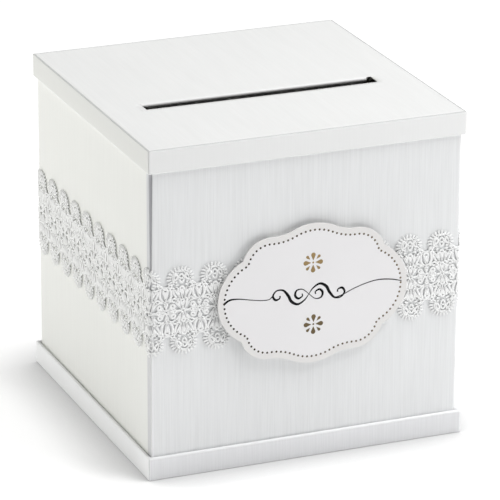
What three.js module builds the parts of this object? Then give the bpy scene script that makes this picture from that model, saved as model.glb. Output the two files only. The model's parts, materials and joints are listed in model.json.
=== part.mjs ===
import * as THREE from 'three';

// A wedding card box, folded from white embossed card: a base tray, a four-sided sleeve that stands
// in it, and a lid with an envelope slot. A lace ribbon runs round the sleeve and a scalloped label
// stands off its front face on foam pads.
// Millimetres, +Z up, the front towards -Y, the origin at the centre of the base's underside.

// Overall sizes
const BOX_HEIGHT = 254;
const LID_SIZE = 249;
const SLEEVE_SIZE = 244.2;
const BASE_SIZE = 250.4;
const RIM_DEPTH = 18;

// Sheets
const BOARD = 0.5; // one ply of card
const GAP = 0.3; // between sheets that touch
const POCKET = 1.1; // between the two plies of a rim, where a corner tab is tucked
const TAB_LENGTH = 24;
const TAB_MARGIN = 1; // from a corner tab to the rim's fold and to its open edge
const GLUE_TAB_WIDTH = 20;

// The envelope slot and the flap that was cut from it and folded under its back edge
const SLOT_LEFT = -91.9;
const SLOT_RIGHT = 92.9;
const SLOT_FRONT = -35.6;
const SLOT_BACK = -22.8;
const FLAP_LENGTH = 13.2;
const FLAP_DROOP = THREE.MathUtils.degToRad(36); // below level, pointing back
const FLAP_SIDE_GAP = 0.4;
const CREASE_RADIUS = 1.05; // outside the bend between the lid panel and the flap

// Lace ribbon
const LACE_THICKNESS = 1;
const LACE_MIDDLE_Z = 129.5;
const LACE_REPEATS = 38;
const LACE_PHASE = 23.2; // first scallop's centre along the front, from the left corner
const LOBE_HEIGHT = 25; // from the ribbon's middle to the centre of a scallop
const LOBE_RADIUS = 9;
const VALLEY_HEIGHT = 18.5; // from the ribbon's middle to the bottom of a valley
const STEPS_PER_REPEAT = 8;
const CORNER_STEPS = 4;

// Label
const LABEL_X = 2.5;
const LABEL_Z = 130;
const LABEL_TURN = THREE.MathUtils.degToRad(-0.9);
const LABEL_THICKNESS = 0.8;
const END_ARC = { x: -40.2, z: 0, r: 34.7 }; // the rounded left end
const LOBE_ARC = { x: -34.5, z: 24.7, r: 22.3 }; // the upper left corner lobe
const PEAK_ARC = { x: 0, z: 16, r: 38.2 }; // the rounded top
const HOLLOW_RADIUS = 35; // the shallow hollow between lobe and top
const ARC_STEPS = 6;
const PAD_THICKNESS = 4;
const PAD_SIZE = [16, 9];
const PAD_OFFSET = [26, 40.5];

const CARD_WHITE = { color: 0xf1f1ef, roughness: 0.55, metalness: 0 };
const CARD_INSIDE = { color: 0xe9e8e3, roughness: 0.85, metalness: 0 };
const LACE_WHITE = { color: 0xf4f3ef, roughness: 0.9, metalness: 0 };
const LABEL_WHITE = { color: 0xefedec, roughness: 0.6, metalness: 0 };
const FOAM_WHITE = { color: 0xe6e6e2, roughness: 0.95, metalness: 0 };

const SIDES = ['front', 'right', 'back', 'left'];
const group = new THREE.Group();

function add(name, geometry, finish, parent = group) {
  const mesh = new THREE.Mesh(geometry, new THREE.MeshStandardMaterial(finish));
  mesh.name = name;
  parent.add(mesh);
  return mesh;
}

// A box given by its lowest and highest corners.
function boxBetween(low, high) {
  const geometry = new THREE.BoxGeometry(high[0] - low[0], high[1] - low[1], high[2] - low[2]);
  geometry.translate((low[0] + high[0]) / 2, (low[1] + high[1]) / 2, (low[2] + high[2]) / 2);
  return geometry;
}

function rectangle(depthFrom, depthTo, zFrom, zTo) {
  return [
    new THREE.Vector2(depthFrom, zFrom),
    new THREE.Vector2(depthTo, zFrom),
    new THREE.Vector2(depthTo, zTo),
    new THREE.Vector2(depthFrom, zTo),
  ];
}

function geometryFrom(positions, triangles) {
  const geometry = new THREE.BufferGeometry();
  geometry.setAttribute('position', new THREE.Float32BufferAttribute(positions, 3));
  geometry.setIndex(triangles);
  geometry.computeVertexNormals();
  return geometry;
}

// One side of a square frame that is 2 * half wide: a section given as (depth inwards from the outer
// face, z) and run along the front side, with its ends mitred to meet the next sides.
function mitredSide(section, half) {
  const count = section.length;
  const seam = GAP * Math.SQRT1_2;
  const positions = [];
  for (const end of [-1, 1]) {
    for (const point of section) {
      positions.push(end * (half - point.x - seam), point.x - half, point.y);
    }
  }
  const triangles = [];
  for (const [a, b, c] of THREE.ShapeUtils.triangulateShape(section, [])) {
    triangles.push(c, b, a, count + a, count + b, count + c);
  }
  for (let i = 0; i < count; i++) {
    const j = (i + 1) % count;
    triangles.push(i, j, count + j, i, count + j, count + i);
  }
  return geometryFrom(positions, triangles);
}

// The same side at the front, right, back and left of the box.
function addFourSides(prefix, suffix, section, half, finish) {
  SIDES.forEach((side, turn) => {
    const mesh = add(`${prefix}_${side}_${suffix}`, mitredSide(section, half), finish);
    mesh.rotation.z = (turn * Math.PI) / 2;
  });
}

// A rim is one strip folded back on itself, with its fold at foldZ and its open edge at openZ.
function rimSection(foldZ, openZ) {
  const inner = BOARD + POCKET;
  const pocketZ = foldZ + Math.sign(openZ - foldZ) * BOARD;
  const section = [
    new THREE.Vector2(0, foldZ),
    new THREE.Vector2(inner + BOARD, foldZ),
    new THREE.Vector2(inner + BOARD, openZ),
    new THREE.Vector2(inner, openZ),
    new THREE.Vector2(inner, pocketZ),
    new THREE.Vector2(BOARD, pocketZ),
    new THREE.Vector2(BOARD, openZ),
    new THREE.Vector2(0, openZ),
  ];
  return openZ > foldZ ? section : section.reverse();
}

// Each side rim ends in tabs that are tucked into the pockets of the front and back rims.
function addCornerTabs(prefix, half, lowZ, highZ) {
  const depth = BOARD + GAP;
  const outer = half - 2 * BOARD - POCKET - TAB_MARGIN;
  for (const [sideName, ySign] of [['front', -1], ['back', 1]]) {
    for (const [endName, xSign] of [['left', -1], ['right', 1]]) {
      const xs = [xSign * outer, xSign * (outer - TAB_LENGTH)].sort((a, b) => a - b);
      const ys = [ySign * (half - depth), ySign * (half - depth - BOARD)].sort((a, b) => a - b);
      const geometry = boxBetween([xs[0], ys[0], lowZ], [xs[1], ys[1], highZ]);
      add(`${prefix}_tab_${sideName}_${endName}`, geometry, CARD_INSIDE);
    }
  }
}

function addLid() {
  const half = LID_SIZE / 2;
  const outline = new THREE.Shape([
    new THREE.Vector2(-half, -half),
    new THREE.Vector2(half, -half),
    new THREE.Vector2(half, half),
    new THREE.Vector2(-half, half),
  ]);
  outline.holes.push(new THREE.Path([
    new THREE.Vector2(SLOT_LEFT, SLOT_FRONT),
    new THREE.Vector2(SLOT_LEFT, SLOT_BACK),
    new THREE.Vector2(SLOT_RIGHT, SLOT_BACK),
    new THREE.Vector2(SLOT_RIGHT, SLOT_FRONT),
  ]));
  const panel = new THREE.ExtrudeGeometry(outline, { depth: BOARD, bevelEnabled: false });
  panel.translate(0, 0, BOX_HEIGHT - BOARD);
  add('lid_top_panel', panel, CARD_WHITE);

  const foldZ = BOX_HEIGHT - RIM_DEPTH;
  const openZ = BOX_HEIGHT - BOARD - GAP;
  addFourSides('lid', 'rim', rimSection(foldZ, openZ), half, CARD_WHITE);
  addCornerTabs('lid', half, foldZ + BOARD + TAB_MARGIN, openZ - TAB_MARGIN);
}

// The flap is drawn level, pointing back from its crease, and then turned down to its droop.
function addSlotFlap() {
  const crease = new THREE.Group();
  crease.position.set(0, SLOT_BACK + CREASE_RADIUS, BOX_HEIGHT - CREASE_RADIUS);
  crease.rotation.x = -FLAP_DROOP;
  group.add(crease);
  const low = [SLOT_LEFT + FLAP_SIDE_GAP, GAP, -BOARD / 2];
  const high = [SLOT_RIGHT - FLAP_SIDE_GAP, FLAP_LENGTH, BOARD / 2];
  add('slot_flap', boxBetween(low, high), CARD_WHITE, crease);
}

// The sleeve's four walls, closed by a tab glued behind the front wall at the front left corner.
function addSleeve() {
  const half = SLEEVE_SIZE / 2;
  const lowZ = BOARD + GAP;
  const highZ = BOX_HEIGHT - BOARD - GAP;
  addFourSides('sleeve', 'panel', rectangle(0, BOARD, lowZ, highZ), half, CARD_WHITE);

  const inner = half - BOARD - GAP;
  const margin = BOARD + TAB_MARGIN;
  const low = [-inner, -inner, lowZ + margin];
  const high = [GLUE_TAB_WIDTH - inner, BOARD - inner, highZ - margin];
  add('sleeve_glue_tab', boxBetween(low, high), CARD_INSIDE);
}

function addBase() {
  const half = BASE_SIZE / 2;
  add('base_floor_panel', boxBetween([-half, -half, 0], [half, half, BOARD]), CARD_WHITE);

  const foldZ = RIM_DEPTH;
  const openZ = BOARD + GAP;
  addFourSides('base', 'rim', rimSection(foldZ, openZ), half, CARD_WHITE);
  addCornerTabs('base', half, openZ + TAB_MARGIN, foldZ - BOARD - TAB_MARGIN);
}

// Half the ribbon's width at a place given in repeats from a scallop's centre.
function laceHalfWidth(repeats, pitch) {
  const fromCentre = (repeats - Math.round(repeats)) * pitch;
  const lobe = LOBE_HEIGHT + Math.sqrt(Math.max(0, LOBE_RADIUS ** 2 - fromCentre ** 2));
  return Math.abs(fromCentre) < LOBE_RADIUS ? lobe : VALLEY_HEIGHT;
}

// Places round the sleeve: a point on the square, the direction outwards there, and the distance
// along the sides from the front left corner. At a corner the point stays and the direction turns.
function sleeveRing(pitch) {
  const half = SLEEVE_SIZE / 2;
  const steps = Math.round((SLEEVE_SIZE / pitch) * STEPS_PER_REPEAT);
  const ring = [];
  for (let side = 0; side < SIDES.length; side++) {
    const turn = (side * Math.PI) / 2;
    const centre = new THREE.Vector2();
    for (let step = 1; step < steps; step++) {
      const run = (step / steps) * SLEEVE_SIZE;
      const point = new THREE.Vector2(run - half, -half).rotateAround(centre, turn);
      const outward = new THREE.Vector2(0, -1).rotateAround(centre, turn);
      ring.push({ point, outward, along: side * SLEEVE_SIZE + run });
    }
    for (let step = 0; step <= CORNER_STEPS; step++) {
      const bend = turn + ((step / CORNER_STEPS) * Math.PI) / 2;
      const point = new THREE.Vector2(half, -half).rotateAround(centre, turn);
      const outward = new THREE.Vector2(0, -1).rotateAround(centre, bend);
      ring.push({ point, outward, along: (side + 1) * SLEEVE_SIZE });
    }
  }
  return ring;
}

// The ribbon is a closed band: at each place round the sleeve it has a four-cornered section.
function addLace() {
  const pitch = (SLEEVE_SIZE * SIDES.length) / LACE_REPEATS;
  const ring = sleeveRing(pitch);
  const positions = [];
  for (const { point, outward, along } of ring) {
    const halfWidth = laceHalfWidth((along - LACE_PHASE) / pitch, pitch);
    for (const [offset, sign] of [[GAP, -1], [GAP, 1], [GAP + LACE_THICKNESS, 1], [GAP + LACE_THICKNESS, -1]]) {
      const place = point.clone().addScaledVector(outward, offset);
      positions.push(place.x, place.y, LACE_MIDDLE_Z + sign * halfWidth);
    }
  }
  const triangles = [];
  for (let i = 0; i < ring.length; i++) {
    const here = i * 4;
    const next = ((i + 1) % ring.length) * 4;
    for (let corner = 0; corner < 4; corner++) {
      const other = (corner + 1) % 4;
      triangles.push(here + corner, here + other, next + other);
      triangles.push(here + corner, next + other, next + corner);
    }
  }
  add('lace_ribbon', geometryFrom(positions, triangles), LACE_WHITE);
}

// Where two circles meet, on the left of the line from the first centre to the second.
function circlesMeet(first, second) {
  const dx = second.x - first.x;
  const dz = second.z - first.z;
  const distance = Math.hypot(dx, dz);
  const forward = (first.r ** 2 + distance ** 2 - second.r ** 2) / (2 * distance);
  const sideways = Math.sqrt(first.r ** 2 - forward ** 2);
  return new THREE.Vector2(
    first.x + (forward * dx - sideways * dz) / distance,
    first.z + (forward * dz + sideways * dx) / distance,
  );
}

// Points along an arc, by the shorter way round, without the last one.
function arcPoints(arc, from, to) {
  const start = Math.atan2(from.y - arc.z, from.x - arc.x);
  const sweep = Math.atan2(to.y - arc.z, to.x - arc.x) - start;
  const shorter = sweep - 2 * Math.PI * Math.round(sweep / (2 * Math.PI));
  const points = [];
  for (let step = 0; step < ARC_STEPS; step++) {
    const angle = start + (shorter * step) / ARC_STEPS;
    points.push(new THREE.Vector2(arc.x + arc.r * Math.cos(angle), arc.z + arc.r * Math.sin(angle)));
  }
  return points;
}

// The label's upper left quarter, from the tip of its left end to its top: an end arc, a notch,
// a corner lobe, a shallow hollow and the rounded top. The other quarters mirror it.
function labelOutline() {
  const centre = circlesMeet(
    { ...LOBE_ARC, r: LOBE_ARC.r + HOLLOW_RADIUS },
    { ...PEAK_ARC, r: PEAK_ARC.r + HOLLOW_RADIUS },
  );
  const hollow = { x: centre.x, z: centre.y, r: HOLLOW_RADIUS };
  const towards = (arc) => new THREE.Vector2(arc.x, arc.z).add(
    new THREE.Vector2(hollow.x - arc.x, hollow.z - arc.z).setLength(arc.r),
  );
  const tip = new THREE.Vector2(END_ARC.x - END_ARC.r, 0);
  const notch = circlesMeet(END_ARC, LOBE_ARC);
  const lobeEnd = towards(LOBE_ARC);
  const hollowEnd = towards(PEAK_ARC);
  const top = new THREE.Vector2(0, PEAK_ARC.z + PEAK_ARC.r);
  const quarter = [
    ...arcPoints(END_ARC, tip, notch),
    ...arcPoints(LOBE_ARC, notch, lobeEnd),
    ...arcPoints(hollow, lobeEnd, hollowEnd),
    ...arcPoints(PEAK_ARC, hollowEnd, top),
    top,
  ];
  const half = [...quarter, ...quarter.slice(0, -1).reverse().map((p) => new THREE.Vector2(-p.x, p.y))];
  return [...half, ...half.slice(1, -1).reverse().map((p) => new THREE.Vector2(p.x, -p.y))];
}

function addLabel() {
  const faceY = -SLEEVE_SIZE / 2;
  const label = new THREE.Group();
  label.position.set(LABEL_X, faceY, LABEL_Z);
  label.rotation.y = -LABEL_TURN;
  group.add(label);

  const card = new THREE.ExtrudeGeometry(new THREE.Shape(labelOutline()), {
    depth: LABEL_THICKNESS,
    bevelEnabled: false,
  });
  card.rotateX(Math.PI / 2);
  card.translate(0, -(GAP + PAD_THICKNESS + GAP), 0);
  add('label_card', card, LABEL_WHITE, label);

  for (const [rowName, zSign] of [['upper', 1], ['lower', -1]]) {
    for (const [endName, xSign] of [['left', -1], ['right', 1]]) {
      const pad = new THREE.BoxGeometry(PAD_SIZE[0], PAD_THICKNESS, PAD_SIZE[1]);
      pad.translate(xSign * PAD_OFFSET[0], -GAP - PAD_THICKNESS / 2, zSign * PAD_OFFSET[1]);
      add(`label_pad_${rowName}_${endName}`, pad, FOAM_WHITE, label);
    }
  }
}

addBase();
addSleeve();
addLace();
addLabel();
addLid();
addSlotFlap();

export default group;
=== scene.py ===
import json
import math

import bmesh
import bpy
import numpy as np
from mathutils import Matrix, Vector


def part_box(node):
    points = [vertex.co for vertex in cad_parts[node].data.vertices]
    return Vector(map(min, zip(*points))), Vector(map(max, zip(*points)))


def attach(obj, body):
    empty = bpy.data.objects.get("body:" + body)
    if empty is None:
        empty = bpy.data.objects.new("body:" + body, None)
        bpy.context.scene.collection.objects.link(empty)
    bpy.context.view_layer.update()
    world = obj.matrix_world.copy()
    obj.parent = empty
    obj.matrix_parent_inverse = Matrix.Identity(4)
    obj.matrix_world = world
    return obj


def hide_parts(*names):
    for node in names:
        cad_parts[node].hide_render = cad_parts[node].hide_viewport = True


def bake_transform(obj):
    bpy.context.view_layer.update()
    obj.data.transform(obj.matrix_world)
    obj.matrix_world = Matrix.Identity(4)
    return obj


# A wedding card box of white embossed card. Lengths are in metres, and MM turns millimetres into them,
# but the label and the lace are drawn in millimetres.
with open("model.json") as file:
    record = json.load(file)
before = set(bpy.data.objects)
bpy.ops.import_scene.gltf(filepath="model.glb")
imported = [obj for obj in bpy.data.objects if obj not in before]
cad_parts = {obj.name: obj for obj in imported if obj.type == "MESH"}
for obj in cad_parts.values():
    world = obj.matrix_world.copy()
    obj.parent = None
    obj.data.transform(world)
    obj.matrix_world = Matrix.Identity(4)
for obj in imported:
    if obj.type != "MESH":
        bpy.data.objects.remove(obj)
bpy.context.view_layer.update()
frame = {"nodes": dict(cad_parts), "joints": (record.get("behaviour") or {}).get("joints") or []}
MM = 0.001
UP = Vector((0, 0, 1))
SIDES = ("front", "right", "back", "left")

# ---- sizes, from the frame ----
_, lid_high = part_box("lid_top_panel")
LID_HALF = lid_high.x
TOP_Z = lid_high.z
LID_RIM = TOP_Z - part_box("lid_front_rim")[0].z
BASE_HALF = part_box("base_floor_panel")[1].x
BASE_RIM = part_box("base_front_rim")[1].z
sleeve_low, sleeve_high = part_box("sleeve_front_panel")
SLEEVE_HALF = -sleeve_low.y
lace_low, lace_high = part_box("lace_ribbon")
LACE_MIDDLE = (lace_low.z + lace_high.z) / 2
label_low, label_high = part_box("label_card")
LABEL_CENTRE = (label_low + label_high) / 2
LABEL_FRONT = label_low.y
flap_low, flap_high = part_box("slot_flap")
crease = next(j for j in frame["joints"] if j["name"] == "flap_crease")
CREASE = Vector(crease["pos_m"])

# ---- sizes of the card work ----
BOARD = 0.5 * MM
PANEL_SAG = 0.5 * MM
WALL_BOW = 0.18 * MM
HEM_WAVER = 0.18 * MM
FOLD = 0.9 * MM  # outside radius of a fold between a panel and its rim
LID_HEM = 1.05 * MM  # outside radius where a rim is folded back on itself
BASE_HEM = 1.4 * MM
LID_SEAM = 0.5 * MM  # between the rims at a corner
BASE_SEAM = 0.1 * MM
LID_BULGE = 0.2 * MM  # how far a rim bows out
BASE_BULGE = 0.3 * MM
CORNER_LINE = 0.991  # the last grid line before a tray's corner, as a share of its half width
INNER_PLY_END = 1.2 * MM  # the inner ply ends this far from the panel's face
LID_COLUMNS = 36
BASE_COLUMNS = 30
SCORE_DEPTH = 0.16 * MM  # the pressed line beside a fold
SCORE_INSET = 1.7 * MM  # from the outer face to the middle of the pressed line
SCORE_HALF_WIDTH = 0.7 * MM
FLAT_START = 6 * MM  # the panel's grid ends this far inside the outer face
FLAP_GAP = 0.4 * MM
SLOT_WIDTH = 12.8 * MM
FLAP_DROOP = math.radians(36)  # below level
FLAP_LENGTH = 12 * MM
FLAP_SHORT = 3.5 * MM  # the flap stops this far short of the slot's right end
BEND = 1.6 * MM  # outside radius of the bend between the lid and the flap
SLEEVE_CORNER = 2.2 * MM
SHADED_STRIP_WIDTH = 7.5 * MM  # the width of the left panel's strip beside the seam, painted with shade
GAPE_START = 60 * MM  # the height where the sleeve's seam starts to gape
GAPE_RUN = 176 * MM  # how much higher the gape reaches 1


# ---- mesh helpers ----
class Sheet:
    """Collects the vertices and faces of one surface, and joins vertices that fall together."""

    def __init__(self):
        self.places = []
        self.found = {}
        self.faces = []
        self.kinds = []

    def vertex(self, x, y, z):
        key = (round(x * 1e6), round(y * 1e6), round(z * 1e6))
        if key not in self.found:
            self.found[key] = len(self.places)
            self.places.append((x, y, z))
        return self.found[key]

    def face(self, corners, kind):
        corners = [c for i, c in enumerate(corners) if c != corners[i - 1]]
        if len(set(corners)) > 2:
            self.faces.append(corners)
            self.kinds.append(kind)

    def grid(self, rows, kind):
        """Faces between rows of vertex numbers, all of one length."""
        for upper, lower in zip(rows, rows[1:]):
            for i in range(len(upper) - 1):
                self.face([upper[i], lower[i], lower[i + 1], upper[i + 1]], kind)

    def make(self, name, materials, body, slot):
        mesh = new_mesh(name, self.places, self.faces, self.kinds)
        return finish_mesh(mesh, name, materials, body)


def new_mesh(name, places, faces, kinds=None):
    mesh = bpy.data.meshes.new(name)
    mesh.from_pydata(places, [], faces)
    if kinds:
        mesh.polygons.foreach_set("material_index", kinds)
    return mesh


def finish_mesh(mesh, name, materials, body, sharp=35):
    """An object of the mesh, with edges over sharp degrees kept sharp. It rides the body, if any."""
    mesh.update()
    mesh.shade_smooth()
    mesh.set_sharp_from_angle(angle=math.radians(sharp))
    for material in materials:
        mesh.materials.append(material)
    obj = bpy.data.objects.new(name, mesh)
    bpy.context.scene.collection.objects.link(obj)
    if body:
        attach(obj, body)
    return obj


CARD_KINDS = 5  # a tray and the sleeve have this many kinds of outer face


def thicken(obj):
    """Gives a sheet of card its thickness, on the side away from its normals. The inside and the cut
    edges take the materials that follow those of the outer faces."""
    solid = obj.modifiers.new("thickness", "SOLIDIFY")
    solid.thickness = BOARD
    solid.offset = -1
    solid.use_even_offset = True
    solid.material_offset = CARD_KINDS
    solid.material_offset_rim = CARD_KINDS


def turned(point, quarter_turns):
    """A point of the front side, moved to the side that many quarter turns on, seen from above."""
    x, y, z = point
    for _ in range(quarter_turns):
        x, y = -y, x
    return x, y, z


def smoothstep(low, high, value):
    t = min(1.0, max(0.0, (value - low) / (high - low)))
    return t * t * (3 - 2 * t)


def wave(*values):
    """A slow, repeatable wobble between -1 and 1 for places given in metres."""
    total = sum(math.sin(v * 23 * (k + 1) + 1.7 * k) for k, v in enumerate(values))
    return total / len(values)


# ---- materials ----
class Shader:
    """A material with one Principled surface, and short ways to add the nodes that feed it."""

    def __init__(self, name, roughness, **constants):
        self.material = bpy.data.materials.new(name)
        self.material.use_nodes = True
        self.tree = self.material.node_tree
        self.surface = self.tree.nodes["Principled BSDF"]
        self.surface.inputs["Roughness"].default_value = roughness
        for socket, value in constants.items():
            self.surface.inputs[socket.replace("_", " ")].default_value = value
        self.coordinates = self.tree.nodes.new("ShaderNodeTexCoord").outputs["Object"]

    def link(self, source, target):
        self.tree.links.new(source, target)

    def stretched(self, scale):
        mapping = self.tree.nodes.new("ShaderNodeMapping")
        mapping.inputs["Scale"].default_value = scale
        self.link(self.coordinates, mapping.inputs["Vector"])
        return mapping.outputs["Vector"]

    def noise(self, scale, detail=2, roughness=0.5, stretch=(1, 1, 1)):
        node = self.tree.nodes.new("ShaderNodeTexNoise")
        node.inputs["Scale"].default_value = scale
        node.inputs["Detail"].default_value = detail
        node.inputs["Roughness"].default_value = roughness
        self.link(self.stretched(stretch), node.inputs["Vector"])
        return node.outputs["Fac"]

    def math(self, operation, first, second):
        node = self.tree.nodes.new("ShaderNodeMath")
        node.operation = operation
        for socket, value in zip(node.inputs, (first, second)):
            if isinstance(value, (int, float)):
                socket.default_value = value
            else:
                self.link(value, socket)
        return node.outputs["Value"]

    def spread(self, value, low, high, to_low=0.0, to_high=1.0):
        node = self.tree.nodes.new("ShaderNodeMapRange")
        for name, number in zip(
            ("From Min", "From Max", "To Min", "To Max"), (low, high, to_low, to_high)
        ):
            node.inputs[name].default_value = number
        self.link(value, node.inputs["Value"])
        return node.outputs["Result"]

    def colour(self, share, first, second):
        node = self.tree.nodes.new("ShaderNodeMix")
        node.data_type = "RGBA"
        node.inputs["A"].default_value = (*first, 1)
        node.inputs["B"].default_value = (*second, 1)
        self.link(share, node.inputs["Factor"])
        self.link(node.outputs["Result"], self.surface.inputs["Base Color"])

    def rough(self, value):
        self.link(value, self.surface.inputs["Roughness"])

    def bump(self, height, distance, strength=1.0):
        node = self.tree.nodes.new("ShaderNodeBump")
        node.inputs["Distance"].default_value = distance
        node.inputs["Strength"].default_value = strength
        self.link(height, node.inputs["Height"])
        self.link(node.outputs["Normal"], self.surface.inputs["Normal"])


THREAD = 1 / 45  # how far a thread is drawn out along its own direction
UPRIGHT = ((1, 1, THREAD), (THREAD, THREAD, 1))  # for the walls and rims
LEVEL = ((1, THREAD, 1), (THREAD, 1, 1))  # for the lid's panel


def card_material(name, tint, contrast=0.1, relief=0.5, stretches=UPRIGHT):
    """Linen-embossed, faintly pearlescent card. Its threads and the ones that cross them run along
    the two stretches, which shrink the pattern's places along one direction and so draw it out."""
    card = Shader(name, 0.5, Coat_Weight=0.12, Coat_Roughness=0.35)
    streaks = card.noise(900, 3, 0.6, stretches[0])
    crossing = card.noise(1100, 2, 0.5, stretches[1])
    broad = card.noise(9, 2)
    threads = card.math("ADD", card.math("MULTIPLY", crossing, 0.45), streaks)
    fine, soft = card.spread(streaks, 0.35, 0.65, 0, 0.8), card.spread(broad, 0.35, 0.65, 0, 0.2)
    dark = tuple(c * (1 - contrast) for c in tint)
    card.colour(card.math("ADD", fine, soft), dark, tint)
    card.rough(card.spread(streaks, 0.3, 0.7, 0.44, 0.58))
    card.bump(threads, 0.05 * MM, relief)
    return card.material


def inside_material():
    """The card's uncoated back: soft fibres, no emboss."""
    card = Shader("card_inside", 0.9)
    fibres = card.noise(1600, 3, 0.65)
    mottle = card.noise(60, 3)
    card.colour(mottle, (0.84, 0.84, 0.82), (0.9, 0.9, 0.88))
    card.bump(fibres, 0.03 * MM, 0.6)
    return card.material


def lace_material():
    """Cotton thread: fine stitches, and a little soft fuzz."""
    lace = Shader("lace_thread", 0.8, Sheen_Weight=0.8, Sheen_Roughness=0.5)
    stitches = lace.noise(2600, 2, 0.6, (1, 1, 2.2))
    broad = lace.noise(160, 2)
    lace.colour(broad, (0.975, 0.98, 0.975), (0.99, 0.995, 0.99))
    lace.bump(stitches, 0.08 * MM, 0.3)
    return lace.material


def label_material(name, dark, light):
    """Smooth shimmer card."""
    label = Shader(name, 0.5, Coat_Weight=0.15, Coat_Roughness=0.3)
    shimmer = label.noise(3000, 2, 0.7)
    broad = label.noise(25, 2)
    mottle = label.math("ADD", label.math("MULTIPLY", shimmer, 0.4), label.math("MULTIPLY", broad, 0.6))
    label.colour(mottle, dark, light)
    label.rough(label.spread(shimmer, 0.3, 0.7, 0.42, 0.6))
    label.bump(shimmer, 0.012 * MM, 0.5)
    return label.material


def gold_material(name, axis, dark_end, light_end, dark, light):
    """Bronze foil. Its tone goes from dark to light between two places along one axis: a painted
    reflection.
    """
    gold = Shader(name, 0.45, Metallic=0.3, Specular_IOR_Level=0.2)
    grain = gold.noise(2200, 3, 0.6)
    split = gold.tree.nodes.new("ShaderNodeSeparateXYZ")
    gold.link(gold.coordinates, split.inputs["Vector"])
    place = gold.spread(split.outputs[axis], dark_end, light_end, 0, 0.85)
    gold.colour(gold.math("ADD", place, gold.spread(grain, 0.3, 0.7, 0, 0.15)), dark, light)
    gold.rough(gold.spread(grain, 0.3, 0.7, 0.34, 0.55))
    gold.bump(grain, 0.01 * MM, 0.5)
    return gold.material


def ink_material():
    ink = Shader("black_ink", 0.65, Specular_IOR_Level=0.1)
    grain = ink.noise(1800, 2)
    ink.colour(grain, (0.003, 0.003, 0.004), (0.01, 0.01, 0.011))
    ink.bump(grain, 0.008 * MM, 0.5)
    return ink.material


def foam_material():
    foam = Shader("foam", 0.95)
    cells = foam.tree.nodes.new("ShaderNodeTexVoronoi")
    cells.inputs["Scale"].default_value = 1500
    foam.link(foam.coordinates, cells.inputs["Vector"])
    foam.colour(cells.outputs["Distance"], (0.62, 0.62, 0.6), (0.9, 0.9, 0.88))
    foam.bump(cells.outputs["Distance"], 0.15 * MM, 0.8)
    return foam.material


walls_card = card_material("sleeve_card", (0.895, 0.905, 0.91), 0.08)
# The left wall's copy of the sleeve card: painted light, a warmer, slightly darker tint and fainter linen
# for how the light falls on that side.
left_wall_painted_light_card = card_material("sleeve_left_wall_painted_light_card", (0.875, 0.88, 0.85), 0.045, 0.4)
lid_shaded_card = card_material("lid_shaded_card", (0.785, 0.79, 0.765), 0.03)
# A lighter copy of the base card: painted highlight on the base's hems and corners and, below the lace, on
# the sleeve's cut edge and seam. The base's back and left rims also take it.
base_painted_highlight_card = card_material("base_painted_highlight_card", (0.97, 0.975, 0.985), 0.02)
# A dark copy of the card: painted shade in the gap of the sleeve's seam above the lace.
seam_painted_shade_card = card_material("seam_painted_shade_card", (0.5, 0.5, 0.53))
# A darker copy of the card: painted shade on the left panel's strip beside the seam.
strip_painted_shade_card = card_material("strip_painted_shade_card", (0.665, 0.67, 0.685), 0.03, 0.3)
lid_panel_card = card_material("lid_panel_card", (0.925, 0.93, 0.925), 0.03, 0.4, LEVEL)
lid_rim_card = card_material("lid_rim_card", (0.91, 0.915, 0.91), 0.02, 0.3)
# A darker copy of the card: painted shade along the lid's pressed line and the fold round its panel.
lid_crease_painted_shade_card = card_material("lid_crease_painted_shade_card", (0.64, 0.65, 0.645), 0.02)
base_card = card_material("base_card", (0.9, 0.905, 0.92), 0.06)
card_inside = inside_material()
lace_thread = lace_material()
label_field = label_material("label_field", (0.86, 0.85, 0.86), (0.92, 0.91, 0.92))
label_rim = label_material("label_rim", (0.81, 0.797, 0.785), (0.87, 0.855, 0.845))
# The dots go from near black at the label's left end to bronze at its right, and the rosettes from dark
# below to light above: painted reflection in the foil.
dot_foil = gold_material("dot_foil", "X", -0.075, 0.078, (0.006, 0.005, 0.004), (0.21, 0.165, 0.115))
gold_foil = gold_material("gold_foil", "Z", 0.105, 0.155, (0.13, 0.095, 0.05), (0.36, 0.25, 0.11))
black_ink = ink_material()
foam = foam_material()


# ---- the lid and the base tray: a panel with four rims folded back on themselves ----
PANEL, RIM, HEM, FAR_RIM, PRESS = range(CARD_KINDS)  # kinds of face
# Numbers of the rim profile's points where the pressed fold, the outer ply and the hem start.
PRESS_START, PLY_START, HEM_START = 6, 14, 24


def rim_profile(depth, hem):
    """(inward from the outer face, down from the panel's face, share of the corner seam), from the
    panel over the score and the fold, down the outer ply, round the hem and up the inner ply."""
    points = [(FLAT_START, 0, 0)]
    for k in range(9):
        inward = SCORE_INSET + (1 - k / 4) * SCORE_HALF_WIDTH
        dip = SCORE_DEPTH * (0.5 + 0.5 * math.cos(math.pi * (k / 4 - 1)))
        points.append((inward, dip, 0))
    for k in range(1, 8):
        angle = math.radians(90 * k / 7)
        points.append((FOLD * (1 - math.sin(angle)), FOLD * (1 - math.cos(angle)), k / 7))
    for k in range(1, 9):
        points.append((0, FOLD + (depth - hem - FOLD) * k / 8, 1))
    for k in range(1, 11):
        angle = math.radians(180 * k / 10)
        points.append((hem * (1 - math.cos(angle)), depth - hem + hem * math.sin(angle), 1))
    for k in range(1, 4):
        points.append((2 * hem, depth - hem - (depth - hem - INNER_PLY_END) * k / 3, 1))
    return points


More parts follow.
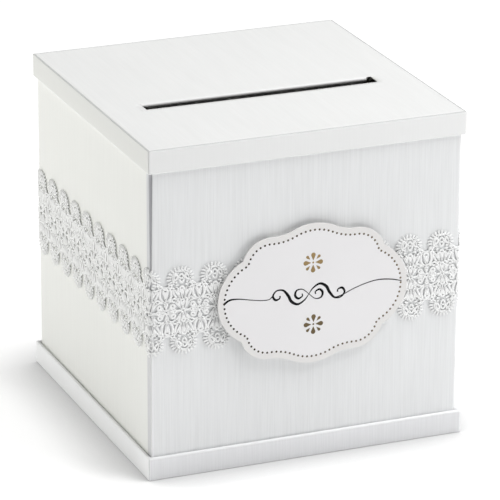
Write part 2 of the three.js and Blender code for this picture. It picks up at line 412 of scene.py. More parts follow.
def tray(half, depth, hem, gap, bulge, xs, ys, hole=None, seed=0.0):
    """A tray sheet with its panel's face at height 0 and its rims hanging down. xs and ys are the
    panel's grid lines, as shares of its half width. The front and right rims are of kind RIM, the
    other two FAR_RIM, and their hems and corners HEM. PRESS is the pressed fold round the panel."""
    sheet = Sheet()
    reach = half - FLAT_START

    def settle(x, y, t, down):
        """Rims bow out a little between their corners, and their hems waver."""
        out = bulge * (1 - t * t) * math.sin(math.pi * min(1, max(0, down / depth)))
        lift = HEM_WAVER * wave(x + seed, y) * smoothstep(0.3 * depth, depth, down)
        return out, lift

    panel = {}
    for j, y in enumerate(ys):
        for i, x in enumerate(xs):
            sag = PANEL_SAG * (1 - x * x) * (1 - y * y) * (0.7 + 0.3 * wave(x * 0.1 + seed, y * 0.1))
            panel[i, j] = sheet.vertex(x * reach, y * reach, -sag)
    for j in range(len(ys) - 1):
        for i in range(len(xs) - 1):
            middle = ((xs[i] + xs[i + 1]) / 2 * reach, (ys[j] + ys[j + 1]) / 2 * reach)
            if hole and hole[0] < middle[0] < hole[1] and hole[2] < middle[1] < hole[3]:
                continue
            sheet.face([panel[i, j], panel[i + 1, j], panel[i + 1, j + 1], panel[i, j + 1]], PANEL)

    along = [xs, ys, [-x for x in reversed(xs)], [-y for y in reversed(ys)]]
    for turn in range(4):
        strips = []
        for inward, down, seam in rim_profile(depth, hem):
            strip = []
            for t in along[turn]:
                x = t * (half - inward - seam * gap / 2)
                wx, wy, _ = turned((x, -half, 0), turn)
                out, lift = settle(wx, wy, t, down)
                strip.append(sheet.vertex(*turned((x, inward - half - out, lift - down), turn)))
            strips.append(strip)
        outer_ply = strips[PLY_START : HEM_START + 1]
        sheet.grid(strips[: PRESS_START + 1], PANEL)
        sheet.grid(strips[PRESS_START : PLY_START + 1], PRESS)
        sheet.grid([strip[1:-1] for strip in outer_ply], RIM if turn < 2 else FAR_RIM)
        sheet.grid([strip[:2] for strip in outer_ply], HEM)
        sheet.grid([strip[-2:] for strip in outer_ply], HEM)
        sheet.grid(strips[HEM_START:], HEM)
    return sheet


def spaced(count, *extra):
    """Grid lines from -1 to 1, with extra ones put in and close neighbours left out."""
    lines = [-1 + 2 * k / count for k in range(count + 1)]
    lines = [v for v in lines if all(abs(v - e) > 0.4 / count for e in extra) or abs(v) == 1]
    return sorted(lines + list(extra))


def make_lid():
    reach = LID_HALF - FLAT_START
    slot_left, slot_right = flap_low.x - FLAP_GAP, flap_high.x + FLAP_GAP
    slot_back = CREASE.y
    slot_front = slot_back - (TOP_Z - CREASE.z) - SLOT_WIDTH
    hole = (slot_left, slot_right, slot_front, slot_back)
    xs = spaced(LID_COLUMNS, -CORNER_LINE, slot_left / reach, slot_right / reach, CORNER_LINE)
    ys = spaced(LID_COLUMNS, -CORNER_LINE, slot_front / reach, slot_back / reach, CORNER_LINE)
    sheet = tray(LID_HALF, LID_RIM, LID_HEM, LID_SEAM, LID_BULGE, xs, ys, hole)
    sheet.places = [(x, y, TOP_Z + z) for x, y, z in sheet.places]
    # The pressed fold round the lid's panel takes painted shade.
    cards = [lid_panel_card, lid_rim_card, lid_rim_card, lid_shaded_card, lid_crease_painted_shade_card]
    cards += [card_inside] * CARD_KINDS
    obj = sheet.make("lid_shell", cards, "lid", "embossed_card")
    thicken(obj)
    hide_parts("lid_top_panel", *[f"lid_{side}_rim" for side in SIDES])


def make_base():
    lines = spaced(BASE_COLUMNS, -CORNER_LINE, CORNER_LINE)
    sheet = tray(BASE_HALF, BASE_RIM, BASE_HEM, BASE_SEAM, BASE_BULGE, lines, lines, seed=0.4)
    sheet.places = [(x, y, -z) for x, y, z in sheet.places]
    sheet.faces = [list(reversed(f)) for f in sheet.faces]
    # The hems and corners take painted highlight, a lighter copy of the card; so do the back and left
    # rims.
    cards = [base_card, base_card, base_painted_highlight_card, base_painted_highlight_card, base_card]
    cards += [card_inside] * CARD_KINDS
    obj = sheet.make("base_shell", cards, "base_tray", "embossed_card")
    thicken(obj)
    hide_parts("base_floor_panel", *[f"base_{side}_rim" for side in SIDES])


make_lid()
make_base()


# ---- the sleeve: one wall folded round three corners, and a fourth where its tab is glued ----
WALL, LEFT_WALL, SEAM, STRIP, PAINTED_HIGHLIGHT = range(CARD_KINDS)  # kinds of face
# Numbers of the plan's points: the end of the front panel's cut edge, which below the lace takes a
# painted highlight, and the starts of the left panel (inside its back corner), of its strip beside the
# seam, painted with shade, and of the seam (one step into the fold).
EDGE_END, LEFT_WALL_START, STRIP_START, SEAM_START = 3, 82, 108, 110
SLEEVE_ROWS = 24
WALL_COLUMNS = 20
EDGE_STEP = 0.45 * MM  # between the points of the cut edge
FRONT_START = 3.5 * MM  # the front panel's own points start this far from the corner


def corner_arc(x, y, start, steps=8, radius=SLEEVE_CORNER):
    """A quarter turn round a corner whose centre is x, y."""
    angles = [math.radians(start + 90 * k / steps) for k in range(steps + 1)]
    return [(x + radius * math.cos(a), y + radius * math.sin(a)) for a in angles]


def sleeve_plan(z):
    """The wall's outer face at height z, seen from above: from the front panel's cut edge, round the
    right, back and left panels, to the end of the glue tab behind the front panel. The seam there
    gapes towards the top."""
    h, r = SLEEVE_HALF, SLEEVE_CORNER
    gape = max(0, (z - GAPE_START) / GAPE_RUN) ** 2
    # How far the cut edge bends back, the depth of the tab, the cut edge's place, the fold's radius.
    curl = (0.1 + 0.3 * gape) * MM
    tab_y = -h + (0.6 + 1.05 * gape) * MM
    edge = -h + (0.4 + 1.3 * gape) * MM
    fold = (0.5 + 2.0 * gape) * MM
    plan = [(edge + k * EDGE_STEP, -h + curl * (1 - k / 4) ** 2) for k in range(4)]
    front_length = 2 * h - FRONT_START - r
    run = [-h + FRONT_START + k / WALL_COLUMNS * front_length for k in range(WALL_COLUMNS)]
    plan += [(x, -h + bow(x, z, h)) for x in run]
    plan += corner_arc(h - r, -h + r, -90)
    run = [-h + r + k / WALL_COLUMNS * (2 * h - 2 * r) for k in range(1, WALL_COLUMNS)]
    plan += [(h - bow(y, z, h), y) for y in run]
    plan += corner_arc(h - r, h - r, 0)
    plan += [(-x, h - bow(x, z, h)) for x in run]
    plan += corner_arc(-h + r, h - r, 90)
    plan += [(-h + bow(y, z, h), -y) for y in run]
    plan.append((-h + bow(h - SHADED_STRIP_WIDTH, z, h), -h + SHADED_STRIP_WIDTH))
    plan += corner_arc(-h + fold, tab_y + fold, 180, radius=fold)
    plan += [(-h + 3 * MM + k * 4 * MM, tab_y) for k in range(5)]
    return plan


def bow(along, z, half):
    """How far a wall sinks in between its corners."""
    across = 1 - (along / half) ** 2
    return WALL_BOW * across * math.sin(math.pi * z / TOP_Z) * (0.8 + 0.2 * wave(along * 0.1, z * 0.1))


def make_sleeve():
    sheet = Sheet()
    rows = []
    for k in range(SLEEVE_ROWS + 1):
        z = sleeve_high.z + (sleeve_low.z - sleeve_high.z) * k / SLEEVE_ROWS
        rows.append([sheet.vertex(x, y, z) for x, y in sleeve_plan(z)])
    behind_lace, end = SLEEVE_ROWS // 2, len(rows[0]) - 1
    # The left panel's strip beside the seam takes painted shade all the way up.
    left = ((LEFT_WALL_START, STRIP_START, LEFT_WALL), (STRIP_START, SEAM_START, STRIP))
    # Above the lace the seam's fold and tab take painted shade.
    upper = ((0, LEFT_WALL_START, WALL), (SEAM_START, end, SEAM))
    # Below the lace the cut edge, the seam's fold and the tab take painted highlight.
    lower = (
        (0, EDGE_END, PAINTED_HIGHLIGHT),
        (EDGE_END, LEFT_WALL_START, WALL),
        (SEAM_START, end, PAINTED_HIGHLIGHT),
    )
    for part, spans in ((rows[: behind_lace + 1], upper), (rows[behind_lace:], lower)):
        for first, last, kind in left + spans:
            sheet.grid([row[first : last + 1] for row in part], kind)
    cards = [walls_card, left_wall_painted_light_card, seam_painted_shade_card, strip_painted_shade_card, base_painted_highlight_card]
    cards += [card_inside] * CARD_KINDS
    obj = sheet.make("sleeve_wall", cards, "sleeve", "embossed_card")
    thicken(obj)
    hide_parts("sleeve_glue_tab", *[f"sleeve_{side}_panel" for side in SIDES])
    return obj


sleeve_wall = make_sleeve()


# ---- the envelope slot's flap, and the bend that joins it to the lid ----
BEND_END = 270 - math.degrees(FLAP_DROOP)
FLAP_RUN = flap_high.x - FLAP_SHORT - flap_low.x
FLAP_COLUMNS = [flap_low.x + FLAP_RUN * k / 24 for k in range(25)]
SECTION_STEPS = 10


def flap_strip(section, sway=0.0):
    """A closed strip along the slot with one section, given as (y, z, share of the sway) with the
    outer face's places first."""
    sheet = Sheet()
    loops = []
    for x in FLAP_COLUMNS:
        lift = sway * wave(x * 1.3)
        loops.append([sheet.vertex(x, y, z + lift * share) for y, z, share in section])
    count = len(section)
    for here, there in zip(loops, loops[1:]):
        for i in range(count):
            j = (i + 1) % count
            sheet.face([here[i], here[j], there[j], there[i]], 0 if i < SECTION_STEPS else 1)
    sheet.face(list(reversed(loops[0])), 1)
    sheet.face(loops[-1], 1)
    return sheet


def around_crease(radius, degrees):
    angle = math.radians(degrees)
    return CREASE.y + radius * math.cos(angle), TOP_Z - BEND + radius * math.sin(angle)


def make_flap():
    shares = [k / SECTION_STEPS for k in range(SECTION_STEPS + 1)]
    angles = [90 + (BEND_END - 90) * share for share in shares]
    section = [(*around_crease(BEND, a), 0) for a in angles]
    section += [(*around_crease(BEND - BOARD, a), 0) for a in reversed(angles)]
    bend = flap_strip(section)
    crease_strip = bend.make("slot_crease", [lid_panel_card, card_inside], None, "embossed_card")
    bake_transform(crease_strip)

    run = (math.cos(-FLAP_DROOP), math.sin(-FLAP_DROOP))
    section = []
    for radius, order in ((BEND, shares), (BEND - BOARD, shares[::-1])):
        y, z = around_crease(radius, BEND_END)
        section += [(y + s * FLAP_LENGTH * run[0], z + s * FLAP_LENGTH * run[1], s * s) for s in order]
    sheet = flap_strip(section, sway=0.25 * MM)
    flap = sheet.make("slot_flap_sheet", [lid_rim_card, card_inside], "slot_flap", "embossed_card")
    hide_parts("slot_flap")


make_flap()


# ---- the label ----
LABEL_TURN = math.radians(-0.9)  # an anticlockwise turn, seen from the front, would be above 0
LABEL_CARD = 0.8  # thickness; all the lengths below are in millimetres
END_ARC = (-40.2, 0, 34.7)  # the rounded left end: x, z from the label's middle, and radius
LOBE_ARC = (-34.5, 24.7, 22.3)  # the upper left corner lobe
PEAK_ARC = (0, 16, 38.2)  # the rounded top
HOLLOW_RADIUS = 35  # the shallow hollow between lobe and top
LABEL_EDGE = 0.15  # the bevel round the front face
DOT_INSET = 5.0
DOT_COUNT = 104
DOT_FOOT, DOT_TOP, DOT_HEIGHT = 0.88, 0.7, 0.08
ROSETTES = ((-0.7, 24.0), (0.7, -24.2))
PRINT = 0.06  # thickness of the printed ink
PRINT_BACK = -0.02  # the ink starts this far inside the card
FIELD, BORDER, DOTS, GOLD, INK = range(5)  # kinds of face


def circles_meet(first, second):
    """Where two circles meet, on the left of the line from the first centre to the second."""
    (x1, z1, r1), (x2, z2, r2) = first, second
    dx, dz = x2 - x1, z2 - z1
    distance = math.hypot(dx, dz)
    forward = (r1**2 + distance**2 - r2**2) / (2 * distance)
    sideways = math.sqrt(r1**2 - forward**2)
    return x1 + (forward * dx - sideways * dz) / distance, z1 + (forward * dz + sideways * dx) / distance


def arc_between(arc, start, end, steps):
    """Points from start towards end along an arc, by the shorter way round, without the last."""
    x, z, r = arc
    first = math.atan2(start[1] - z, start[0] - x)
    sweep = math.remainder(math.atan2(end[1] - z, end[0] - x) - first, 2 * math.pi)
    angles = [first + sweep * k / steps for k in range(steps)]
    return [(x + r * math.cos(a), z + r * math.sin(a)) for a in angles]


def label_outline(inset, steps=14):
    """The label's outline moved inwards, anticlockwise from the tip of its left end."""

    def smaller(arc, by=inset):
        return arc[0], arc[1], arc[2] - by

    hollow = (
        *circles_meet(smaller(LOBE_ARC, -HOLLOW_RADIUS), smaller(PEAK_ARC, -HOLLOW_RADIUS)),
        HOLLOW_RADIUS + inset,
    )

    def touching(arc):
        x, z, r = smaller(arc)
        away = math.hypot(hollow[0] - x, hollow[1] - z)
        return x + (hollow[0] - x) * r / away, z + (hollow[1] - z) * r / away

    tip = (END_ARC[0] - END_ARC[2] + inset, 0)
    top = (0, PEAK_ARC[1] + PEAK_ARC[2] - inset)
    notch = circles_meet(smaller(END_ARC), smaller(LOBE_ARC))
    quarter = [
        *arc_between(smaller(END_ARC), tip, notch, steps),
        *arc_between(smaller(LOBE_ARC), notch, touching(LOBE_ARC), steps),
        *arc_between(hollow, touching(LOBE_ARC), touching(PEAK_ARC), steps),
        *arc_between(smaller(PEAK_ARC), touching(PEAK_ARC), top, steps),
        top,
    ]
    half = quarter + [(-x, z) for x, z in reversed(quarter[:-1])]
    whole = half + [(x, -z) for x, z in reversed(half[1:-1])]
    return whole[:1] + whole[:0:-1]


class Print:
    """Shapes in the label's own plane: x to the right, z up, both in millimetres from its middle,
    and a height in front of the card's face."""

    def __init__(self):
        self.places = []
        self.faces = []
        self.kinds = []

    def ring(self, outline, height):
        first = len(self.places)
        self.places += [(x, z, height) for x, z in outline]
        return list(range(first, len(self.places)))

    def cap(self, loop, kind):
        self.faces.append(loop)
        self.kinds.append(kind)

    def skirt(self, lower, upper, kind):
        """Faces between two loops of one length, the lower one farther from the viewer."""
        for i, here in enumerate(lower):
            j = (i + 1) % len(lower)
            self.faces.append([here, lower[j], upper[j], upper[i]])
            self.kinds.append(kind)

    def raised(self, outline, kind):
        """An island of ink: anticlockwise outlines, closed at the back too."""
        back, front = self.ring(outline, PRINT_BACK), self.ring(outline, PRINT)
        self.cap(back[::-1], kind)
        self.skirt(back, front, kind)
        self.cap(front, kind)

    def make(self, name, materials, body, slot):
        """Stands the shapes up in front of the sleeve, at the label's place and turn."""
        cos, sin = math.cos(LABEL_TURN), math.sin(LABEL_TURN)
        places = [
            (
                LABEL_CENTRE.x + (x * cos - z * sin) * MM,
                LABEL_FRONT - height * MM,
                LABEL_CENTRE.z + (x * sin + z * cos) * MM,
            )
            for x, z, height in self.places
        ]
        mesh = new_mesh(name, places, self.faces, self.kinds)
        return finish_mesh(mesh, name, materials, body, sharp=40)


def ellipse(x, z, rx, rz, steps, turn=0.0):
    cos, sin = math.cos(turn), math.sin(turn)
    angles = [2 * math.pi * k / steps for k in range(steps)]
    loop = [(rx * math.cos(a), rz * math.sin(a)) for a in angles]
    return [(x + u * cos - v * sin, z + u * sin + v * cos) for u, v in loop]


def petal(x, z, angle, start, end, width, steps=12):
    """A teardrop from its point at start to its round end, along the direction angle."""
    radius = width / 2
    centre = end - radius
    lean = math.acos(radius / (centre - start))
    curve = [lean - math.pi + (2 * math.pi - 2 * lean) * k / steps for k in range(steps + 1)]
    shape = [(start, 0)] + [(centre + radius * math.cos(a), radius * math.sin(a)) for a in curve]
    cos, sin = math.cos(angle), math.sin(angle)
    return [(x + u * cos - v * sin, z + u * sin + v * cos) for u, v in shape]


def evenly_spaced(outline, count):
    loop = np.array(outline + outline[:1])
    lengths = np.concatenate([[0], np.cumsum(np.linalg.norm(np.diff(loop, axis=0), axis=1))])
    wanted = np.arange(count) * lengths[-1] / count
    return [(np.interp(w, lengths, loop[:, 0]), np.interp(w, lengths, loop[:, 1])) for w in wanted]


def through(points, steps=8):
    """A smooth line through points of any number of coordinates."""
    p = np.array([points[0], *points, points[-1]], float)
    line = []
    for a, b, c, d in zip(p, p[1:], p[2:], p[3:]):
        squared, cubed = 2 * a - 5 * b + 4 * c - d, 3 * b - a - 3 * c + d
        for t in np.arange(steps) / steps:
            line.append(0.5 * (2 * b + (c - a) * t + squared * t**2 + cubed * t**3))
    return np.array(line + [p[-1]])


def pen_stroke(shapes, points):
    """A stroke of ink through (x, z, width) points, as one island."""
    line = through(points)
    run = np.gradient(line[:, :2], axis=0)
    run /= np.linalg.norm(run, axis=1)[:, None]
    side = np.stack([-run[:, 1], run[:, 0]], 1) * np.maximum(line[:, 2:3], 0.16) / 2
    left, right = line[:, :2] + side, line[:, :2] - side
    count = len(line)
    heights = (PRINT_BACK, PRINT)
    rows = [shapes.ring(edge.tolist(), height) for height in heights for edge in (right, left)]
    back_right, back_left, front_right, front_left = rows
    for i in range(count - 1):
        for a, b in (
            (front_right, front_left),
            (front_left, back_left),
            (back_left, back_right),
            (back_right, front_right),
        ):
            shapes.cap([a[i], a[i + 1], b[i + 1], b[i]], INK)
    shapes.cap([front_right[0], front_left[0], back_left[0], back_right[0]], INK)
    shapes.cap([back_right[-1], back_left[-1], front_left[-1], front_right[-1]], INK)


# The flourish: (x, z, width) along each stroke. The scroll and the loop are drawn twice, once turned
# right round, and all of it stands a little to the left of the label's middle.
ORNAMENT_SHIFT = -3.5
SCROLL = [(0, 0, 0.5), (3.4, 4.4, 1.1), (8.6, 7.0, 1.7), (13.6, 4.4, 2.2), (16.4, -0.6, 2.1)]
SCROLL += [(20.4, -5.1, 1.5), (25.6, -5.4, 1.0), (28.4, -1.7, 1.5), (26.4, 1.6, 1.7), (23.2, 0.9, 1.1)]
SCROLL += [(22.8, -1.2, 1.2)]
LOOP = [(0, 0, 0.5), (5, -4.1, 0.7), (9.6, -3.8, 1.2), (10.9, -0.2, 1.8), (8.4, 2.6, 1.6), (5.2, 1.2, 1.0)]
LOOP += [(5.4, -0.8, 0.9)]
LEFT_LINE = [(-70.5, -0.4, 1.7), (-68, 1.6, 1.6), (-64.5, 2.9, 1.3), (-58, 2.6, 0.8), (-49, 0.8, 0.6)]
LEFT_LINE += [(-41, -0.6, 0.6), (-35, -0.6, 0.6), (-32.2, 1.5, 0.8)]
RIGHT_LINE = [(17.0, -5.4, 0.8), (23, -4.0, 0.7), (33, 0.1, 0.7), (43, 3.0, 0.7), (52, 4.3, 0.8)]
RIGHT_LINE += [(62, 3.4, 0.8), (70.6, 1.2, 0.6)]


def both_ways(points):
    """A stroke, and the same stroke turned right round, both moved to the ornament's place."""
    return [[(ORNAMENT_SHIFT + x * way, z * way, width) for x, z, width in points] for way in (1, -1)]


def make_label():
    shapes = Print()
    back = shapes.ring(label_outline(0), -LABEL_CARD)
    edge = shapes.ring(label_outline(0), -LABEL_EDGE)
    face = shapes.ring(label_outline(LABEL_EDGE), 0)
    inner = shapes.ring(label_outline(DOT_INSET), 0)
    shapes.cap(back[::-1], BORDER)
    shapes.skirt(back, edge, BORDER)
    shapes.skirt(edge, face, BORDER)
    shapes.skirt(face, inner, BORDER)
    shapes.cap(inner, FIELD)

    for x, z in evenly_spaced(label_outline(DOT_INSET), DOT_COUNT):
        foot = shapes.ring(ellipse(x, z, DOT_FOOT, DOT_FOOT, 10), PRINT_BACK)
        top = shapes.ring(ellipse(x, z, DOT_TOP, DOT_TOP, 10), DOT_HEIGHT)
        shapes.cap(foot[::-1], DOTS)
        shapes.skirt(foot, top, DOTS)
        shapes.cap(top, DOTS)
    for x, z in ROSETTES:
        shapes.raised(ellipse(x, z, 0.75, 0.75, 12), GOLD)
        for k in range(4):
            shapes.raised(petal(x, z, k * math.pi / 2, 1.6, 7.7, 3.5), GOLD)
            shapes.raised(petal(x, z, (k + 0.5) * math.pi / 2, 3.5, 7.6, 2.2), GOLD)
    for stroke in (*both_ways(SCROLL), *both_ways(LOOP), LEFT_LINE, RIGHT_LINE):
        pen_stroke(shapes, stroke)
    inks = [label_field, label_rim, dot_foil, gold_foil, black_ink]
    label = shapes.make("label", inks, "sleeve", "label_card")
    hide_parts("label_card")


make_label()


# ---- foam pads behind the label ----
def make_pad(node):
    low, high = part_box(node)
    mesh = bpy.data.meshes.new(node)
    pad = bmesh.new()
    bmesh.ops.create_cube(pad, size=1)
    bmesh.ops.subdivide_edges(pad, edges=pad.edges[:], cuts=6, use_grid_fill=True)
    size = high - low
    middle = (low + high) / 2
    for v in pad.verts:
        crown = 1 - 0.06 * (2 * v.co.y) ** 2
        v.co = Vector((v.co.x * size.x * crown, v.co.y * size.y, v.co.z * size.z * crown))
        v.co += middle
    pad.to_mesh(mesh)
    pad.free()
    obj = finish_mesh(mesh, f"{node}_foam", [foam], "sleeve")
    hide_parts(node)


for corner in ("upper_left", "upper_right", "lower_left", "lower_right"):
    make_pad(f"label_pad_{corner}")


# ---- the lace ribbon: one repeat of its pattern, drawn as threads and carried round the sleeve ----
# All the lengths here are in millimetres.
LACE_REPEATS = 38
LACE_PHASE = 24.6  # from the middle of the front left corner to a scallop's centre
LACE_SLANT = -0.045  # the pattern leans: its lower part is shifted to the right
LACE_OFFSET = 0.8  # from the sleeve's face to the middle of a thread
THREAD_HALF_DEPTH = 0.45
THREAD_WEIGHT = 1.22  # how much the threads have swelled beyond the widths below
LACE_CORNER = SLEEVE_CORNER / MM + LACE_OFFSET
LACE_RUN = 2 * (SLEEVE_HALF - SLEEVE_CORNER) / MM
LACE_SIDE = LACE_RUN + math.pi / 2 * LACE_CORNER  # from the middle of one corner to the next
PITCH = 4 * LACE_SIDE / LACE_REPEATS
SCALLOP = 24.6  # from the ribbon's middle to a scallop's centre
FRINGE_LOOPS = 14
TUBE_SIDES = 6


def line_arc(x, z, rx, rz, start, end, steps):
    angles = [math.radians(start + (end - start) * k / steps) for k in range(steps + 1)]
    return [(x + rx * math.cos(a), z + rz * math.sin(a)) for a in angles]


def closed(outline):
    return outline + outline[:1]


def leaf(tip, end, width):
    angle = math.atan2(end[1] - tip[1], end[0] - tip[0])
    return closed(petal(*tip, angle, 0, math.dist(tip, end), width, 8))


def filled_leaf(tip, end, width, thread):
    """A leaf's edge, and the one thread that fills it."""
    fill = width - thread + 0.25
    shares = (0.35, 1 - 0.55 * width / math.dist(tip, end))
    along = [tuple(t + (e - t) * share for t, e in zip(tip, end)) for share in shares]
    return [(leaf(tip, end, width), thread), (along, fill)]


def scallop_threads():
    """A fan round an oval, with a fringe of short loops. The fringe is a little wider to the left."""
    threads = [
        (line_arc(0, SCALLOP, 6.6, 6.0, -38, 218, 22), 1.5, False),
        (closed(ellipse(0, SCALLOP + 0.3, 1.75, 3.4, 12)), 1.25, False),
        ([(-1.7, SCALLOP + 0.3), (1.7, SCALLOP + 0.3)], 1.2, False),
        (closed(ellipse(4.4, SCALLOP + 1.2, 1.3, 2.3, 10, 0.45)), 1.35, True),
        ([(3.4, SCALLOP - 2.6), (5.6, SCALLOP - 3.3)], 1.5, True),
        ([(2.6, SCALLOP - 4.6), (5.0, SCALLOP - 5.4)], 1.3, True),
        ([(2.3, SCALLOP + 4.0), (3.5, SCALLOP + 5.4)], 1.0, True),
    ]
    for k in range(FRINGE_LOOPS):
        angle = math.radians(-20 + 220 * k / (FRINGE_LOOPS - 1))
        x, z = math.cos(angle), math.sin(angle)
        loop = [(6.9, 0.27), (9.4, 0.33), (10.0, 0), (9.4, -0.33), (6.9, -0.27)]
        line = [(1.03 * (x * r - z * w) - 0.8, SCALLOP + 0.93 * (z * r + x * w)) for r, w in loop]
        threads.append((line, 0.85, False))
    return threads


def upper_threads():
    """(line, width, mirrored too) for one repeat's upper half. A scallop's centre is at x = 0, and the
    big flowers between scallops are at x = half a pitch."""
    h = PITCH / 2
    threads = scallop_threads()
    threads += [([(4.6, 9.9), (6.4, 13.4), (7.4, 16.6)], 1.5, True)]
    threads += [(closed(ellipse(h / 2, 8.4, 1.7, 1.3, 10)), 1.2, True)]
    threads += [([(2.2, 9.4), (4.2, 8.8)], 1.4, True), ([(8.6, 8.2), (h - 1.2, 7.4)], 1.4, True)]
    leaves = [
        ((0, 9.4), (0, 18.4), 3.0, 1.4, False),
        ((1.5, 9.0), (4.6, 17.4), 2.6, 1.3, True),
        ((h, 7.2), (h, 17.6), 3.5, 1.5, False),
        ((h, 2.0), (h, 6.6), 2.2, 1.2, False),
        ((0, 1.4), (0, 8.6), 2.8, 1.4, False),
        ((1.3, 1.2), (4.7, 7.8), 2.3, 1.3, True),
    ]
    for side in (-1, 1):
        x, z = side * math.cos(math.radians(37)), math.sin(math.radians(37))
        leaves.append(((h + 1.9 * x, 1.9 * z), (h + 7.9 * x, 7.9 * z), 3.0, 1.4, False))
        stem = [(0.9, 7.4), (2.9, 9.0), (4.3, 11.6), (4.4, 15.0), (3.5, 17.6)]
        lines = [
            (stem, 1.6),
            (closed(ellipse(3.9, 19.3, 1.35, 1.2, 9)), 1.15),
            ([(5.2, 20.2), (6.6, 21.4)], 1.2),
            ([(2.6, 18.9), (0, 18.6)], 1.3),
            ([(5.0, 18.2), (7.4, 17.0), (9.2, 17.8)], 1.3),
        ]
        threads += [([(h + side * x, z) for x, z in line], width, False) for line, width in lines]
    for tip, end, width, thread, twice in leaves:
        threads += [(line, size, twice) for line, size in filled_leaf(tip, end, width, thread)]
    return threads


def lace_threads():
    """Every thread of one repeat, as (points, width)."""
    h = PITCH / 2
    threads = [(closed(ellipse(0, 0, 1.5, 1.2, 10)), 1.2), (closed(ellipse(h, 0, 1.55, 1.45, 10)), 1.4)]
    threads += [([(2.2 * side, 0), (4.8 * side, 0)], 1.5) for side in (-1, 1)]
    for side in (-1, 1):
        threads += filled_leaf((h + side * 2.0, 0), (h + side * 7.4, 0), 2.3, 1.3)
    for line, width, twice in upper_threads():
        for x_sign in (1, -1) if twice else (1,):
            for z_sign in (1, -1):
                threads.append(([(x * x_sign, z * z_sign) for x, z in line], width))
    return threads


def thread_tube(line, width):
    """A thread's surface as (rings, sides, 3) places: along the ribbon, up, and outwards."""
    p = np.array(line, float)
    width = width * THREAD_WEIGHT
    looped = np.allclose(p[0], p[-1])
    if looped:
        p = p[:-1]
        before, after = p - np.roll(p, 1, 0), np.roll(p, -1, 0) - p
    else:
        steps = np.diff(p, axis=0)
        before, after = np.vstack([steps[:1], steps]), np.vstack([steps, steps[-1:]])
    before = before / np.linalg.norm(before, axis=1, keepdims=True)
    after = after / np.linalg.norm(after, axis=1, keepdims=True)
    run = before + after
    length = np.linalg.norm(run, axis=1, keepdims=True)
    run = np.where(length > 0.3, run / np.maximum(length, 1e-9), after)
    stretch = 1 / np.clip(length / 2, 0.75, 1)
    side = np.stack([-run[:, 1], run[:, 0]], 1) * stretch * width / 2
    angles = 2 * math.pi * np.arange(TUBE_SIDES) / TUBE_SIDES
    depth = min(THREAD_HALF_DEPTH, width / 2)
    flat = p[:, None, :] + side[:, None, :] * np.cos(angles)[None, :, None]
    out = np.broadcast_to(depth * np.sin(angles)[None, :, None], (*flat.shape[:2], 1))
    return np.concatenate([flat, out], 2), looped


def tube_faces(rings, looped):
    faces = []
    for i in range(rings if looped else rings - 1):
        here, there = i * TUBE_SIDES, (i + 1) % rings * TUBE_SIDES
        for k in range(TUBE_SIDES):
            n = (k + 1) % TUBE_SIDES
            faces.append((here + k, there + k, there + n, here + n))
    if not looped:
        last = (rings - 1) * TUBE_SIDES
        faces.append(tuple(range(TUBE_SIDES)))
        faces.append(tuple(reversed(range(last, last + TUBE_SIDES))))
    return faces


def round_the_sleeve(along, up, out):
    """Places in the row frame, in metres, for places on the ribbon in millimetres."""
    side = np.floor(along / LACE_SIDE)
    run = along - side * LACE_SIDE - LACE_SIDE / 2
    past = np.clip(np.abs(run) - LACE_RUN / 2, 0, None) * np.sign(run)
    turn = past / LACE_CORNER
    straight = np.clip(run, -LACE_RUN / 2, LACE_RUN / 2)
    radius = SLEEVE_CORNER / MM + LACE_OFFSET + out
    x = straight + radius * np.sin(turn)
    y = -LACE_RUN / 2 - radius * np.cos(turn)
    angle = side * math.pi / 2
    places = [x * np.cos(angle) - y * np.sin(angle), x * np.sin(angle) + y * np.cos(angle)]
    return np.stack([*places, LACE_MIDDLE / MM + up], -1) * MM


def make_lace():
    """Each thread goes whole to the piece of the side where its middle is."""
    pieces = [([], [], 0) for _ in SIDES]
    threads = [(*thread_tube(line, width), np.mean(line, axis=0)) for line, width in lace_threads()]
    for repeat in range(LACE_REPEATS):
        for tube, looped, middle in threads:
            along = LACE_PHASE + repeat * PITCH + tube[..., 0] + LACE_SLANT * tube[..., 1]
            places = round_the_sleeve(along, tube[..., 1], tube[..., 2]).reshape(-1, 3)
            side = int((LACE_PHASE + repeat * PITCH + middle[0]) // LACE_SIDE) % 4
            points, faces, count = pieces[side]
            points.append(places)
            faces += [[count + v for v in face] for face in tube_faces(len(tube), looped)]
            pieces[side] = points, faces, count + len(places)
    for name, (points, faces, _) in zip(SIDES, pieces):
        mesh = new_mesh(f"lace_{name}", np.concatenate(points).tolist(), faces)
        obj = finish_mesh(mesh, f"lace_{name}", [lace_thread], "sleeve", sharp=80)
        if name == "front":
            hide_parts("lace_ribbon")


make_lace()


# ---- the corner tabs keep their plain shapes, in the card's uncoated finish ----
for name, node in frame["nodes"].items():
    if "_tab_" in name and not name.startswith("sleeve"):
        node.data.materials.clear()
        node.data.materials.append(card_inside)


# ---- floor, light and camera ----
CAMERA_AZIMUTH = -22.329
CAMERA_ELEVATION = 20.356
CAMERA_ROLL = 0.304
CAMERA_LENS = 267.88
CAMERA_SENSOR = 36
CAMERA_PLACE = Vector((-1.0024, -2.4523, 1.1029))
FLOOR_HALF = 6
FLOOR_GLOW = 0.76
SHADOW_REACH = 0.055  # how far from the box the floor's glow is dimmed
SHADOW_POWER = 1.6
WORLD_STRENGTH = 0.143
WARM = (1, 1, 0.95)


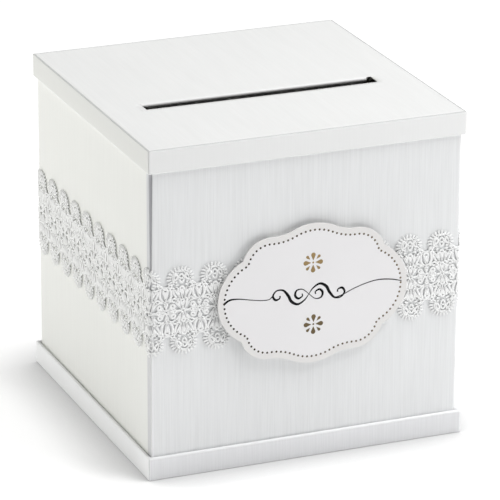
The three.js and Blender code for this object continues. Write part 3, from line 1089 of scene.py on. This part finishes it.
def make_floor():
    f = FLOOR_HALF
    mesh = new_mesh("floor", [(-f, -f, 0), (f, -f, 0), (f, f, 0), (-f, f, 0)], [(0, 1, 2, 3)])
    floor = Shader("floor", 0.9)
    grain = floor.noise(400, 3)
    floor.colour(grain, (0.43, 0.43, 0.43), (0.45, 0.45, 0.45))
    floor.surface.inputs["Emission Color"].default_value = (1, 1, 1, 1)
    occlusion = floor.tree.nodes.new("ShaderNodeAmbientOcclusion")
    occlusion.inputs["Distance"].default_value = SHADOW_REACH
    shade = floor.math("POWER", occlusion.outputs["AO"], SHADOW_POWER)
    glow = floor.math("MULTIPLY", shade, FLOOR_GLOW)
    floor.link(glow, floor.surface.inputs["Emission Strength"])
    mesh.materials.append(floor.material)
    obj = bpy.data.objects.new("floor", mesh)
    bpy.context.scene.collection.objects.link(obj)


def area_light(name, place, target, size, power, colour=(1, 1, 1)):
    data = bpy.data.lights.new(name, "AREA")
    data.shape = "RECTANGLE"
    data.size, data.size_y = size
    data.energy = power
    data.color = colour
    light = bpy.data.objects.new(name, data)
    light.location = place
    light.rotation_euler = (Vector(target) - Vector(place)).to_track_quat("-Z", "Y").to_euler()
    bpy.context.scene.collection.objects.link(light)


def make_light():
    world = bpy.data.worlds.new("studio")
    world.use_nodes = True
    background = world.node_tree.nodes["Background"]
    background.inputs["Color"].default_value = (1, 1, 1, 1)
    background.inputs["Strength"].default_value = WORLD_STRENGTH
    bpy.context.scene.world = world
    area_light("top_right", (0.75, -0.3, 2.15), (0, 0, 0.1), (1.0, 1.0), 28.5)
    area_light("top_right_front", (1.0, -1.1, 2.0), (0, 0, 0.1), (0.8, 0.8), 16.3)
    area_light("left_back", (-1.6, 1.4, 0.8), (-0.12, 0, 0.12), (1.0, 1.0), 19, WARM)
    area_light("left", (-2.2, -0.4, 0.9), (0, 0, 0.12), (1.5, 1.0), 1.2, WARM)
    area_light("right_near", (0.5, -0.5, 0.2), (0.12, -0.12, 0.12), (0.3, 0.3), 0.33)
    area_light("right_far", (2.2, -1.2, 0.8), (0, 0, 0.12), (1.0, 1.0), 0.37)


def make_camera():
    turn, rise, roll = (math.radians(a) for a in (CAMERA_AZIMUTH, CAMERA_ELEVATION, CAMERA_ROLL))
    back = Vector((math.sin(turn) * math.cos(rise), -math.cos(turn) * math.cos(rise), math.sin(rise)))
    right = (-back).cross(UP).normalized()
    up = back.cross(right)
    tilted_right = math.cos(roll) * right + math.sin(roll) * up
    tilted_up = math.cos(roll) * up - math.sin(roll) * right
    data = bpy.data.cameras.new("camera")
    data.lens = CAMERA_LENS
    data.sensor_width = CAMERA_SENSOR
    data.clip_end = 50
    camera = bpy.data.objects.new("camera", data)
    rotation = Matrix((tilted_right, tilted_up, back)).transposed()
    camera.matrix_world = Matrix.Translation(CAMERA_PLACE) @ rotation.to_4x4()
    bpy.context.scene.collection.objects.link(camera)
    bpy.context.scene.camera = camera


make_floor()
make_light()
make_camera()
bpy.context.scene.view_settings.view_transform = "Standard"
